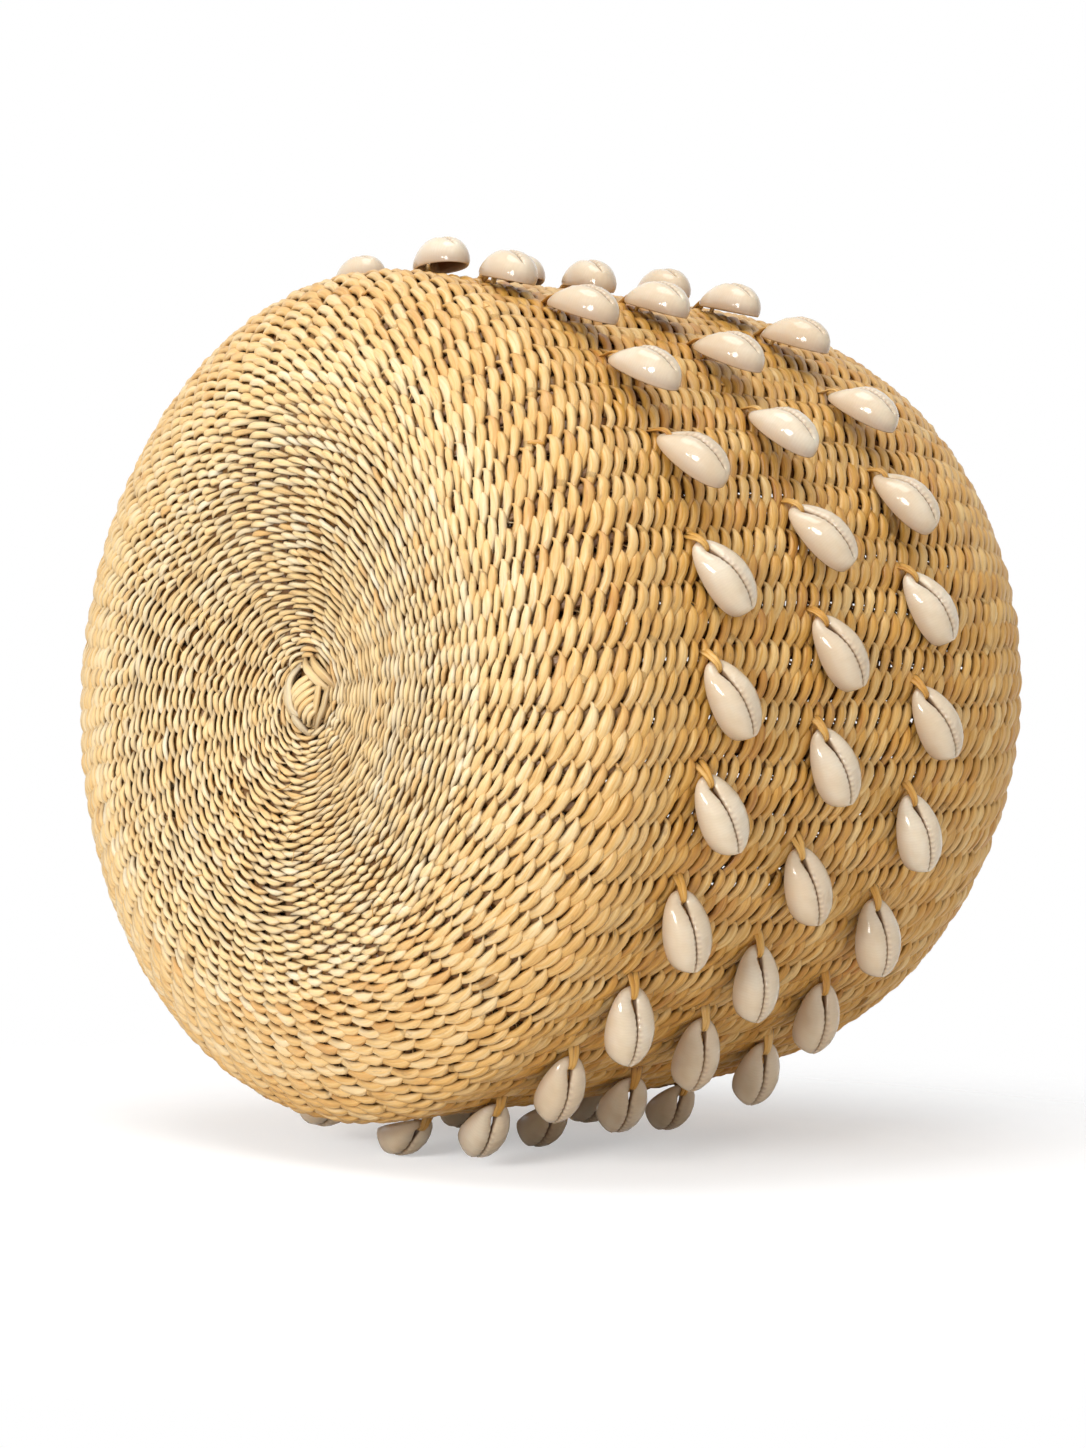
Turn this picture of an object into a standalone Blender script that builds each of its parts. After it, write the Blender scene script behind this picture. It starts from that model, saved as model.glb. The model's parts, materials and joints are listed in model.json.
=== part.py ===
# A round kiondo basket, twined from grass, with three rings of cut cowrie shells tied round its belly.
# It stands on its foot with the mouth up. The shells lie as they do when the basket lies on its side.
# Lengths are in metres, and +Z runs out of the mouth.

import math
import random

import bmesh
import bpy
from mathutils import Matrix, Vector

MM = 0.001

# Woven body
BELLY_RADIUS = 115 * MM
MOUTH_RADIUS = 79 * MM
WALL_HEIGHT = 207 * MM
CORNER_HEIGHT = 27 * MM
FOOT_RADIUS = 76 * MM
FOOT_WIDTH = 12 * MM
DISH_DEPTH = 12 * MM
WALL_THICKNESS = 4.5 * MM
LEAN_AT_MOUTH = 8 * MM
JOIN_GAP = 0.3 * MM
MERGE_DISTANCE = 0.01 * MM
CORNER_POWER = 1.6
SHOULDER_POWER = 9

# Border round the mouth
BORDER_RADIUS = 3.2 * MM

# Starting knot under the middle of the base
KNOT_LENGTH = 12.5 * MM
KNOT_WIDTH = 8 * MM
KNOT_HEIGHT = 2.2 * MM
KNOT_OFFSET = 2.5 * MM
KNOT_TILT = math.radians(25)

# Cowrie shells with the back cut off
SHELL_LENGTH = 21.8 * MM
SHELL_WIDTH = 13.5 * MM
SHELL_HEIGHT = 8.2 * MM
BAR_RADIUS = 1.2 * MM

# Grass loop that ties each shell to the wall
LOOP_WIDTH = 1.2 * MM
LOOP_THICKNESS = 0.9 * MM
LOOP_DEPTH = 1.6 * MM
TIE_CLEARANCE = 0.3 * MM
TIGHT_LOOP_SHARE = 0.33

# Places of the shells
SHELLS_IN_RING = 24
RING_HEIGHTS = (47 * MM, 86.5 * MM, 126 * MM)
FIRST_TURN = math.radians(-3.5)
RING_TURN = math.radians(9.2)
FIXED_SHELLS = (range(14, 19), range(13, 18), range(13, 19))
TOP_BEARING = math.radians(-45)
# Degrees by the turn from the uppermost side: how far a shell hangs open, how far it slants up from its
# ring, and how far the weave has settled its tie along the ring
HANG_BY_TURN = (
    (0, 5), (15, 8), (27, 17), (45, 24), (60, 18), (72, 6), (92, 5),
    (104, 12), (118, 20), (160, 18), (180, 14), (200, 18), (300, 6), (360, 5))
SLANT_BY_TURN = (
    (0, -17), (12, -10), (27, 6), (45, 12), (60, 22), (72, 32), (82, 36), (92, 33), (104, 26), (118, 20),
    (131, 14), (146, 16), (158, 22), (176, 15), (200, 14), (230, 24), (270, 26), (330, -4), (360, -17))
SETTLED_BY_TURN = (
    (0, 5), (12, 3), (21, 1.4), (45, 1.4), (66, 0.1), (92, 0.2), (104, -0.5), (131, -0.9),
    (142, -2.5), (150, -3), (162, -1.4), (200, 0), (300, 0), (340, 3.5), (360, 5))
HANG_SPREAD = math.radians(3)
SLANT_SPREAD = math.radians(4)
HEIGHT_SPREAD = 0.8 * MM
BEARING_SPREAD = math.radians(0.6)
CHANCE_SEED = 5

# Fineness of the faceted surfaces
BODY_SEGMENTS = 48
BORDER_SEGMENTS = 6
KNOT_SEGMENTS = 12
DISH_STEPS = 5
CORNER_STEPS = 6
CORNER_SPLIT_STEP = 3
SHOULDER_SHARES = (0.2, 0.42, 0.62, 0.75, 0.84, 0.91, 0.96, 1.0)

# Sections of a shell at its columns, from the tied end to the free end. Each one goes once round the
# cut: outer rim, outer side, lip top, lip underside, inner side, inner rim. A point is along the
# length, across the half width and above the cut, as shares of the shell's sizes. None is the slot's edge.
SHELL_SHARES = (
    (
        (0.19, 0.64, 0), (0.20, 0.74, 0.40), (0.21, None, 0.62),
        (0.22, None, 0.44), (0.245, 0.50, 0.36), (0.245, 0.48, 0)),
    (
        (0.48, 0.89, 0), (0.49, 1.00, 0.50), (0.49, None, 1.00),
        (0.49, None, 0.80), (0.49, 0.76, 0.50), (0.48, 0.69, 0)),
    (
        (0.79, 0.71, 0), (0.81, 0.80, 0.50), (0.765, None, 0.91),
        (0.75, None, 0.72), (0.75, 0.57, 0.45), (0.74, 0.51, 0)),
    (
        (0.965, 0.25, 0), (1.00, 0.29, 0.40), (0.92, None, 0.69),
        (0.885, None, 0.54), (0.90, 0.19, 0.36), (0.885, 0.19, 0)),
)
# The same for the bar at the tied end, about its middle: along and up are shares of the bar's radius
BAR_SHARES = (
    (-0.80, 0.26, -0.55), (-0.72, 0.26, 0.66), (0.55, None, 0.80),
    (0.94, None, 0.05), (0.80, None, -0.56), (0.05, None, -0.97))


for old in list(bpy.data.objects):
    bpy.data.objects.remove(old, do_unlink=True)


def finish_material(name, colour, roughness):
    """A plain finish with the part's colour."""
    material = bpy.data.materials.new(name)
    material.use_nodes = True
    shader = material.node_tree.nodes["Principled BSDF"]
    shader.inputs["Base Color"].default_value = (*colour, 1)
    shader.inputs["Roughness"].default_value = roughness
    shader.inputs["Metallic"].default_value = 0
    return material


GRASS = finish_material("golden_grass", (0.72, 0.49, 0.20), 0.6)
PALE_GRASS = finish_material("pale_grass", (0.82, 0.62, 0.32), 0.6)
COWRIE = finish_material("ivory_cowrie", (0.80, 0.73, 0.64), 0.25)


def add_object(name, bm, material, smooth_angle=math.radians(40)):
    """Closes a mesh into an object whose faces point out."""
    bmesh.ops.recalc_face_normals(bm, faces=bm.faces)
    mesh = bpy.data.meshes.new(name)
    bm.to_mesh(mesh)
    bm.free()
    mesh.shade_smooth()
    mesh.set_sharp_from_angle(angle=smooth_angle)
    mesh.materials.append(material)
    item = bpy.data.objects.new(name, mesh)
    bpy.context.scene.collection.objects.link(item)
    return item


def lean_at(height):
    """The middle of the weave at a height: the soft body leans as it rises."""
    reach = LEAN_AT_MOUTH * height / WALL_HEIGHT
    return Vector((math.cos(TOP_BEARING), math.sin(TOP_BEARING), 0)) * reach


def revolve(name, outline, material):
    """A turned body: the closed outline of (radius, height) points goes once round the leaning middle."""
    bm = bmesh.new()
    corners = [bm.verts.new((radius, 0, height)) for radius, height in outline]
    edges = [bm.edges.new((a, b)) for a, b in zip(corners, corners[1:] + corners[:1])]
    bmesh.ops.spin(
        bm, geom=corners + edges, cent=(0, 0, 0), axis=(0, 0, 1), angle=math.tau,
        steps=BODY_SEGMENTS, use_merge=True)
    bmesh.ops.remove_doubles(bm, verts=bm.verts, dist=MERGE_DISTANCE)
    bmesh.ops.dissolve_degenerate(bm, edges=bm.edges, dist=MERGE_DISTANCE)
    for vert in bm.verts:
        vert.co += lean_at(vert.co.z)
    return add_object(name, bm, material)


def corner_point(share):
    """A point of the rounded edge between foot and wall: share 0 is on the foot, 1 on the belly."""
    turn = share * math.pi / 2
    radius = FOOT_RADIUS + (BELLY_RADIUS - FOOT_RADIUS) * math.sin(turn) ** (2 / CORNER_POWER)
    return radius, CORNER_HEIGHT * (1 - math.cos(turn) ** (2 / CORNER_POWER))


def wall_radius(height):
    """Outer radius of the wall above the rounded edge: nearly straight, then a shoulder to the mouth."""
    share = (height - CORNER_HEIGHT) / (WALL_HEIGHT - CORNER_HEIGHT)
    return MOUTH_RADIUS + (BELLY_RADIUS - MOUTH_RADIUS) * (1 - max(share, 0) ** SHOULDER_POWER)


def wall_point(share):
    """A point of the wall: share 0 is the top of the rounded edge, 1 the mouth."""
    height = CORNER_HEIGHT + (WALL_HEIGHT - CORNER_HEIGHT) * share
    return wall_radius(height), height


def dish_height(radius):
    """The underside of the dish inside the foot ring."""
    return DISH_DEPTH * (1 + math.cos(math.pi * min(radius / dish_radius, 1))) / 2


def inner_line(line):
    """The inside of a woven skin: each outer point moved in by the thickness, square to the outline."""
    inside = []
    for i, (radius, height) in enumerate(line):
        before = Vector(line[max(i - 1, 0)])
        after = Vector(line[min(i + 1, len(line) - 1)])
        along = (after - before).normalized()
        inner = Vector((radius, height)) + Vector((-along.y, along.x)) * WALL_THICKNESS
        inside.append((max(inner.x, 0), inner.y))
    return inside


# The whole outline from the middle of the base to the mouth, outside and inside
dish_radius = FOOT_RADIUS - FOOT_WIDTH
skin_line = []
for step in range(DISH_STEPS + 1):
    radius = dish_radius * step / DISH_STEPS
    skin_line.append((radius, dish_height(radius)))
for step in range(CORNER_STEPS + 1):
    skin_line.append(corner_point(step / CORNER_STEPS))
for share in SHOULDER_SHARES:
    skin_line.append(wall_point(share))
skin_inside = inner_line(skin_line)
turn_up = DISH_STEPS + 1 + CORNER_SPLIT_STEP

# Base: a shallow dish, a flat foot ring and the lower part of the rounded edge
revolve("woven_base", skin_line[:turn_up + 1] + skin_inside[turn_up::-1], PALE_GRASS)

# Starting knot: the folded bundle of blades that every stake fans out from
knot = bmesh.new()
bmesh.ops.create_uvsphere(knot, u_segments=KNOT_SEGMENTS, v_segments=KNOT_SEGMENTS // 2, radius=0.5)
for vert in knot.verts:
    vert.co.z = max(vert.co.z, 0)
bmesh.ops.remove_doubles(knot, verts=knot.verts, dist=JOIN_GAP)
bmesh.ops.dissolve_degenerate(knot, edges=knot.edges, dist=JOIN_GAP)
knot_place = (
    Matrix.Rotation(TOP_BEARING, 4, "Z")
    @ Matrix.Translation((KNOT_OFFSET, 0, 0))
    @ Matrix.Rotation(KNOT_TILT, 4, "Z")
    @ Matrix.Diagonal((KNOT_LENGTH, KNOT_WIDTH, 2 * KNOT_HEIGHT, 1)))
bmesh.ops.transform(knot, matrix=knot_place, verts=knot.verts)
for vert in knot.verts:
    vert.co.z = dish_height(vert.co.xy.length) - 2 * JOIN_GAP - vert.co.z
    vert.co += lean_at(vert.co.z)
add_object("starting_knot", knot, PALE_GRASS)

# Wall: the upper part of the rounded edge, the belly and the shoulder
turn_up_along = (Vector(skin_line[turn_up + 1]) - Vector(skin_line[turn_up - 1])).normalized()
wall_line = [tuple(Vector(skin_line[turn_up]) + turn_up_along * JOIN_GAP)] + skin_line[turn_up + 1:]
wall_inside = [tuple(Vector(skin_inside[turn_up]) + turn_up_along * JOIN_GAP)] + skin_inside[turn_up + 1:]
wall = revolve("woven_wall", wall_line + wall_inside[::-1], GRASS)

# Border: the stake ends turned down and bound into a round edge that sits on the wall's top
edge_outer = Vector(wall_line[-1])
edge_inner = Vector(wall_inside[-1])
edge_middle = (edge_outer + edge_inner) / 2
edge_along = (edge_outer - Vector(wall_line[-2])).normalized()
border_middle = edge_middle + edge_along * (BORDER_RADIUS + JOIN_GAP)
border_line = []
for step in range(BORDER_SEGMENTS):
    turn = math.tau * (step + 0.5) / BORDER_SEGMENTS
    border_line.append(tuple(border_middle + Vector((math.cos(turn), math.sin(turn))) * BORDER_RADIUS))
revolve("mouth_border", border_line, GRASS)


def read_table(table, turn):
    """A value in degrees at a turn in degrees, on straight lines between the table's rows."""
    turn = turn % 360
    for (low, at_low), (high, at_high) in zip(table, table[1:]):
        if low <= turn <= high:
            return math.radians(at_low + (at_high - at_low) * (turn - low) / (high - low))
    return math.radians(table[-1][1])


# The shell rests on the wall with the middle of its length, so its tied end stands a little off
touch_distance = SHELL_LENGTH / 2
bar_height = BAR_RADIUS + touch_distance ** 2 / (2 * BELLY_RADIUS) + JOIN_GAP
lying_tilt = math.atan2(touch_distance, BELLY_RADIUS)
loop_radius = BAR_RADIUS + TIE_CLEARANCE
slot_half_width = LOOP_WIDTH / 2 + TIE_CLEARANCE


def across_shell(share):
    """Distance from the middle of the shell: a share of the half width, kept clear of the slot."""
    return slot_half_width if share is None else max(SHELL_WIDTH / 2 * share, slot_half_width)


shell_columns = [[(BAR_RADIUS * x, across_shell(y), BAR_RADIUS * z) for x, y, z in BAR_SHARES]]
for section in SHELL_SHARES:
    points = []
    for x, y, z in section:
        points.append((SHELL_LENGTH * x - BAR_RADIUS, across_shell(y), SHELL_HEIGHT * z - BAR_RADIUS))
    shell_columns.append(points)


def shell_mesh():
    """A cut cowrie: a shallow oval bowl, open below, with the slot of the mouth through its top."""
    bm = bmesh.new()
    rings = []
    for side in (1, -1):
        for column in shell_columns[::side]:
            rings.append([bm.verts.new((x, side * y, z)) for x, y, z in column])
    for ring, following in zip(rings, rings[1:] + rings[:1]):
        for i, vert in enumerate(ring):
            j = (i + 1) % len(ring)
            bm.faces.new((vert, ring[j], following[j], following[i]))
    bmesh.ops.triangulate(bm, faces=bm.faces)
    return bm


def loop_mesh(inner_radius):
    """A grass blade bent into a U over the bar, with its two ends in the wall."""
    depth = bar_height + LOOP_DEPTH
    outer_radius = loop_radius + LOOP_THICKNESS
    bend = [(math.cos(turn), math.sin(turn)) for turn in (0, math.pi / 3, math.pi * 2 / 3, math.pi)]
    inner = [(inner_radius, -depth)] + [(inner_radius * x, inner_radius * z) for x, z in bend]
    outer = [(outer_radius, -depth)] + [(outer_radius * x, outer_radius * z) for x, z in bend]
    inner.append((-inner_radius, -depth))
    outer.append((-outer_radius, -depth))
    bm = bmesh.new()
    rings = []
    for (inner_x, inner_z), (outer_x, outer_z) in zip(inner, outer):
        rings.append([
            bm.verts.new((inner_x, -LOOP_WIDTH / 2, inner_z)),
            bm.verts.new((outer_x, -LOOP_WIDTH / 2, outer_z)),
            bm.verts.new((outer_x, LOOP_WIDTH / 2, outer_z)),
            bm.verts.new((inner_x, LOOP_WIDTH / 2, inner_z))])
    for ring, following in zip(rings, rings[1:]):
        for i in range(4):
            j = (i + 1) % 4
            bm.faces.new((ring[i], ring[j], following[j], following[i]))
    bm.faces.new(rings[0])
    bm.faces.new(rings[-1])
    return bm


chance = random.Random(CHANCE_SEED)


def shell_place(ring, number):
    """Where a shell is tied, as a frame with X along the shell, Z out of the wall, and its swing."""
    turn = FIRST_TURN + ring * RING_TURN + number * math.tau / SHELLS_IN_RING
    turn += chance.uniform(-BEARING_SPREAD, BEARING_SPREAD)
    height = RING_HEIGHTS[ring] + chance.uniform(-HEIGHT_SPREAD, HEIGHT_SPREAD)
    slant = read_table(SLANT_BY_TURN, math.degrees(turn)) + chance.uniform(-SLANT_SPREAD, SLANT_SPREAD)
    hang = read_table(HANG_BY_TURN, math.degrees(turn)) + chance.uniform(-HANG_SPREAD, HANG_SPREAD)
    bearing = TOP_BEARING + turn + read_table(SETTLED_BY_TURN, math.degrees(turn))
    outward = Vector((math.cos(bearing), math.sin(bearing), 0))
    around = Vector((-math.sin(bearing), math.cos(bearing), 0))
    slope = (wall_radius(height + JOIN_GAP) - wall_radius(height - JOIN_GAP)) / (2 * JOIN_GAP)
    out = (outward - Vector((0, 0, slope))).normalized()
    up = out.cross(around)
    along = around * math.cos(slant) + up * math.sin(slant)
    across = out.cross(along)
    middle = lean_at(height) + Vector((0, 0, height))
    point = middle + outward * wall_radius(height) + out * bar_height
    frame = Matrix((along, across, out)).transposed().to_4x4()
    frame.translation = point
    return frame, max(hang, 0)


# Shells and their loops. Most shells swing on their loop, and a few are tied tight to the wall.
wall_ties = bmesh.new()
tight_shells = bmesh.new()
shell_shape = None
for ring in range(len(RING_HEIGHTS)):
    for number in range(SHELLS_IN_RING):
        frame, hang = shell_place(ring, number)
        fixed = number in FIXED_SHELLS[ring]
        tie = loop_mesh(BAR_RADIUS * TIGHT_LOOP_SHARE if fixed else loop_radius)
        bmesh.ops.transform(tie, matrix=frame, verts=tie.verts)
        tie_copy = bpy.data.meshes.new("tie")
        tie.to_mesh(tie_copy)
        tie.free()
        wall_ties.from_mesh(tie_copy)
        bpy.data.meshes.remove(tie_copy)
        lying = Matrix.Rotation(lying_tilt, 4, "Y")
        if fixed:
            shell = shell_mesh()
            bmesh.ops.transform(shell, matrix=frame @ lying, verts=shell.verts)
            shell_copy = bpy.data.meshes.new("tight_shell")
            shell.to_mesh(shell_copy)
            shell.free()
            tight_shells.from_mesh(shell_copy)
            bpy.data.meshes.remove(shell_copy)
            continue
        name = f"shell_{ring + 1}_{number:02d}"
        if shell_shape is None:
            item = add_object(name, shell_mesh(), COWRIE)
            shell_shape = item.data
        else:
            item = bpy.data.objects.new(name, shell_shape)
            bpy.context.scene.collection.objects.link(item)
        item.matrix_world = frame @ Matrix.Rotation(-hang, 4, "Y") @ lying
for name, bm in (("wall_ties", wall_ties), ("tight_shells", tight_shells)):
    guide = add_object(name, bm, GRASS)
    guide.hide_render = True
    guide.display_type = "WIRE"
    joint = wall.modifiers.new(name, "BOOLEAN")
    joint.operation = "UNION"
    joint.object = guide

# The origin is the middle of the whole object's box, at the level that it stands on
bpy.context.view_layer.update()
low = Vector((math.inf, math.inf))
high = Vector((-math.inf, -math.inf))
for item in bpy.context.scene.objects:
    for vert in item.data.vertices:
        point = item.matrix_world @ vert.co
        low = Vector((min(low.x, point.x), min(low.y, point.y)))
        high = Vector((max(high.x, point.x), max(high.y, point.y)))
shift = Matrix.Translation((-(low.x + high.x) / 2, -(low.y + high.y) / 2, 0))
for item in bpy.context.scene.objects:
    item.matrix_world = shift @ item.matrix_world
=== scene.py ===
import json
import math
import random
import bpy
import numpy as np
from mathutils import Matrix, Vector


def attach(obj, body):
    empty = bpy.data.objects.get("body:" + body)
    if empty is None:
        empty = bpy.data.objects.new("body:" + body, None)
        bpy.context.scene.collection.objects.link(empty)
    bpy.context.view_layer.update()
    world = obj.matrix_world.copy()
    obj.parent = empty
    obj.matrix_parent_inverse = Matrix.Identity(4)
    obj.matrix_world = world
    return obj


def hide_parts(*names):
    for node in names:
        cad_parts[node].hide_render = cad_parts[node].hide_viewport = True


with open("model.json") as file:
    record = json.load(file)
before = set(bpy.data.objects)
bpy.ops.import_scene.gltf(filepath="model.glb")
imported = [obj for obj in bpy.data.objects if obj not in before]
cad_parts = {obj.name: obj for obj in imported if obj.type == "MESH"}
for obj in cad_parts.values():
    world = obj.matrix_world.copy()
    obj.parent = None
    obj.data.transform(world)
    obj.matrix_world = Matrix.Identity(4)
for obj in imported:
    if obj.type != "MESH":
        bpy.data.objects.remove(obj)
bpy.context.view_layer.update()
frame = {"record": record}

# A kiondo: a round basket twined from dried grass round a starting knot, with three rings of cut cowrie
# shells tied to its belly. It lies on its side: its uppermost side faces +X and -Y alike, so the floor
# that it lies on stands upright in these axes.

scene = bpy.context.scene
scene.view_settings.view_transform = "Standard"
MM = 0.001
UP_BEARING = -math.pi / 4
UP = Vector((math.cos(UP_BEARING), math.sin(UP_BEARING), 0.0))

# The foot mount marks a point on the foot ring, 70 mm along X from the middle of the basket.
foot_mount = next(mount for mount in frame["record"]["mounts"] if mount["name"] == "foot")
MIDDLE = np.array(foot_mount["pos_m"]) / MM - (70.0, 0.0, 0.0)


# Camera. It stands in front of the base, a little to the right, level with the middle of the basket, and
# sees the dished base from the left and the wall running away to the right.

CAMERA_PLACE = (426.3, 458.8, -489.4)
CAMERA_FORWARD = Vector((-0.49991, -0.53033, 0.68474))
CAMERA_UP = Vector((0.70676, -0.70676, -0.031395))
FOCAL_PIXELS = 3000
PHOTO_HEIGHT = 1448

camera_data = bpy.data.cameras.new("camera")
camera_data.sensor_fit = "VERTICAL"
camera_data.sensor_height = 36
camera_data.lens = 36 * FOCAL_PIXELS / PHOTO_HEIGHT
camera_data.clip_start = 0.01
camera = bpy.data.objects.new("camera", camera_data)
scene.collection.objects.link(camera)
back = -CAMERA_FORWARD.normalized()
right = CAMERA_UP.cross(back).normalized()
above = back.cross(right)
turn = Matrix((right, above, back)).transposed().to_4x4()
camera.matrix_world = Matrix.Translation(Vector(MIDDLE + np.array(CAMERA_PLACE)) * MM) @ turn
scene.camera = camera


# Light and floor. A white studio: a broad soft panel overhead, a window in front to the left, a small spot
# beside it that glints on the shells, and a white floor that keeps the soft grey shadow and fades into the
# white behind it.

FLOOR_DROP = 125.0
ROOM_LIGHT = 0.44
FLOOR_GLOW = 1.30
FLOOR_GLOW_SHARE = 0.32
FADE_STARTS, FADE_ENDS = 0.09, 0.37


def linear(colour):
    parts = [int(colour[i:i + 2], 16) / 255 for i in (1, 3, 5)]
    return tuple(c / 12.92 if c <= 0.04045 else ((c + 0.055) / 1.055) ** 2.4 for c in parts) + (1.0,)


def add(tree, kind, settings=None, links=None):
    """Adds one node, with its settings, its sockets' values and what feeds them."""
    node = tree.nodes.new(kind)
    for name, value in (settings or {}).items():
        if name == "ramp":
            ramp = node.color_ramp.elements
            while len(ramp) < len(value):
                ramp.new(0.5)
            for element, (place, colour) in zip(ramp, value):
                element.position = place
                element.color = colour
        elif isinstance(name, str) and hasattr(node, name):
            setattr(node, name, value)
        else:
            node.inputs[name].default_value = value
    for name, source in (links or {}).items():
        tree.links.new(source, node.inputs[name])
    return node


def soft_lamp(name, direction, distance, size, power):
    data = bpy.data.lights.new(name, "AREA")
    data.shape = "DISK"
    data.size = size
    data.energy = power
    lamp = bpy.data.objects.new(name, data)
    scene.collection.objects.link(lamp)
    toward = direction.normalized()
    target = Vector(MIDDLE) * MM + Vector((0, 0, 0.09))
    lamp.location = target + toward * distance
    lamp.rotation_euler = toward.to_track_quat("Z", "Y").to_euler()


soft_lamp("sky_panel", UP - right * 0.15 + back * 0.35, 1.2, 0.9, 6.8)
soft_lamp("window", UP * 0.16 - right * 0.42 + back * 0.88, 1.3, 0.40, 6.4)
soft_lamp("spot", UP * 0.22 - right * 0.64 + back * 0.74, 1.3, 0.12, 1.1)

world = bpy.data.worlds.new("white_studio")
scene.world = world
world.use_nodes = True
tree = world.node_tree
tree.nodes.clear()
rays = add(tree, "ShaderNodeLightPath")
seen = add(tree, "ShaderNodeMath", {"operation": "MAXIMUM"}, {
    0: rays.outputs["Is Camera Ray"], 1: rays.outputs["Is Glossy Ray"]})
seen = add(tree, "ShaderNodeMath", {"operation": "MAXIMUM"}, {
    0: seen.outputs[0], 1: rays.outputs["Is Transmission Ray"]})
room = add(tree, "ShaderNodeBackground", {"Color": (1, 1, 1, 1), "Strength": ROOM_LIGHT})
white = add(tree, "ShaderNodeBackground", {"Color": (1, 1, 1, 1), "Strength": 1.0})
mixed = add(tree, "ShaderNodeMixShader", None, {0: seen.outputs[0], 1: room.outputs[0], 2: white.outputs[0]})
add(tree, "ShaderNodeOutputWorld", None, {"Surface": mixed.outputs[0]})

# Painted white board: matt, and bright enough to the eye that only the shadow shows on it.
white_board = bpy.data.materials.new("white_board")
white_board.use_nodes = True
tree = white_board.node_tree
tree.nodes.clear()
rays = add(tree, "ShaderNodeLightPath")
side = add(tree, "ShaderNodeNewGeometry")
place = add(tree, "ShaderNodeTexCoord")
reach = add(tree, "ShaderNodeVectorMath", {"operation": "LENGTH"}, {0: place.outputs["Object"]})
fade = add(tree, "ShaderNodeMapRange", {
    "From Min": FADE_STARTS, "From Max": FADE_ENDS, "interpolation_type": "SMOOTHSTEP",
}, {"Value": reach.outputs["Value"]})
hidden = add(tree, "ShaderNodeMath", {"operation": "MAXIMUM"}, {
    0: fade.outputs["Result"], 1: side.outputs["Backfacing"]})
hidden = add(tree, "ShaderNodeMath", {"operation": "MULTIPLY"}, {
    0: hidden.outputs[0], 1: rays.outputs["Is Camera Ray"]})
paint = add(tree, "ShaderNodeBsdfDiffuse", {"Color": linear("#FAFAFA"), "Roughness": 1.0})
glow = add(tree, "ShaderNodeEmission", {"Color": (1, 1, 1, 1), "Strength": FLOOR_GLOW})
share = add(tree, "ShaderNodeMath", {"operation": "MULTIPLY", 1: FLOOR_GLOW_SHARE}, {
    0: rays.outputs["Is Camera Ray"]})
board = add(tree, "ShaderNodeMixShader", None, {0: share.outputs[0], 1: paint.outputs[0], 2: glow.outputs[0]})
clear = add(tree, "ShaderNodeBsdfTransparent")
board = add(tree, "ShaderNodeMixShader", None, {0: hidden.outputs[0], 1: board.outputs[0], 2: clear.outputs[0]})
add(tree, "ShaderNodeOutputMaterial", None, {"Surface": board.outputs[0]})

floor_data = bpy.data.meshes.new("floor")
corners = [(-1, -1, 0), (1, -1, 0), (1, 1, 0), (-1, 1, 0)]
floor_data.from_pydata(corners, [], [(0, 1, 2, 3)])
floor_data.materials.append(white_board)
floor = bpy.data.objects.new("floor", floor_data)
scene.collection.objects.link(floor)
floor.rotation_euler = UP.to_track_quat("Z", "Y").to_euler()
floor.location = Vector(MIDDLE) * MM - UP * FLOOR_DROP * MM + Vector((0, 0, 0.08))


# The woven skin. One curve gives its outer outline, from the knot in the dished base over the foot ring
# and the round corner to the mouth. Every stake, blade and shell is placed on it. Sizes are in mm.

DISH_RADIUS = 64.0
DISH_DEPTH = 12.0
FOOT_RADIUS = 76.0
CORNER_HEIGHT = 27.0
CORNER_POWER = 1.6
BELLY_RADIUS = 115.0
MOUTH_RADIUS = 79.0
WALL_HEIGHT = 207.0
SHOULDER_POWER = 9
SKIN_THICKNESS = 4.5
LEAN_AT_MOUTH = 8.0


def wall_radius(height):
    share = max((height - CORNER_HEIGHT) / (WALL_HEIGHT - CORNER_HEIGHT), 0.0)
    return MOUTH_RADIUS + (BELLY_RADIUS - MOUTH_RADIUS) * (1 - share ** SHOULDER_POWER)


dish = [(r, DISH_DEPTH * (1 + math.cos(math.pi * r / DISH_RADIUS)) / 2) for r in np.arange(0, DISH_RADIUS, 0.5)]
corner = []
for share in np.linspace(0, 1, 90):
    reach_out = math.sin(share * math.pi / 2) ** (2 / CORNER_POWER)
    rise = 1 - math.cos(share * math.pi / 2) ** (2 / CORNER_POWER)
    corner.append((FOOT_RADIUS + (BELLY_RADIUS - FOOT_RADIUS) * reach_out, CORNER_HEIGHT * rise))
wall = [(wall_radius(z), z) for z in np.arange(CORNER_HEIGHT + 0.5, WALL_HEIGHT + 0.1, 0.5)]
outline = np.array(dish + corner + wall)


def along(points):
    return np.concatenate([[0], np.cumsum(np.linalg.norm(np.diff(points, axis=0), axis=1))])


def evenly(points, step):
    length = along(points)
    marks = np.arange(0, length[-1], step)
    return np.stack([np.interp(marks, length, points[:, i]) for i in range(points.shape[1])], axis=1)


def smoothed(points, reach_each_way):
    mirrored = points[1:reach_each_way + 1][::-1] * (-1, 1)
    run_on = points[-1] + (points[-1] - points[-2]) * np.arange(1, reach_each_way + 1)[:, None]
    padded = np.concatenate([mirrored, points, run_on])
    window = np.hanning(2 * reach_each_way + 3)[1:-1]
    window /= window.sum()
    return np.stack([np.convolve(padded[:, i], window, "valid") for i in range(2)], axis=1)


skin = smoothed(evenly(outline, 0.5), 8)
skin_length = along(skin)
direction = np.gradient(skin, axis=0)
direction /= np.linalg.norm(direction, axis=1)[:, None]
outward = np.stack([direction[:, 1], -direction[:, 0]], axis=1)
middle_skin = skin - outward * SKIN_THICKNESS / 2
MOUTH_REACH = skin_length[-1]


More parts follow.
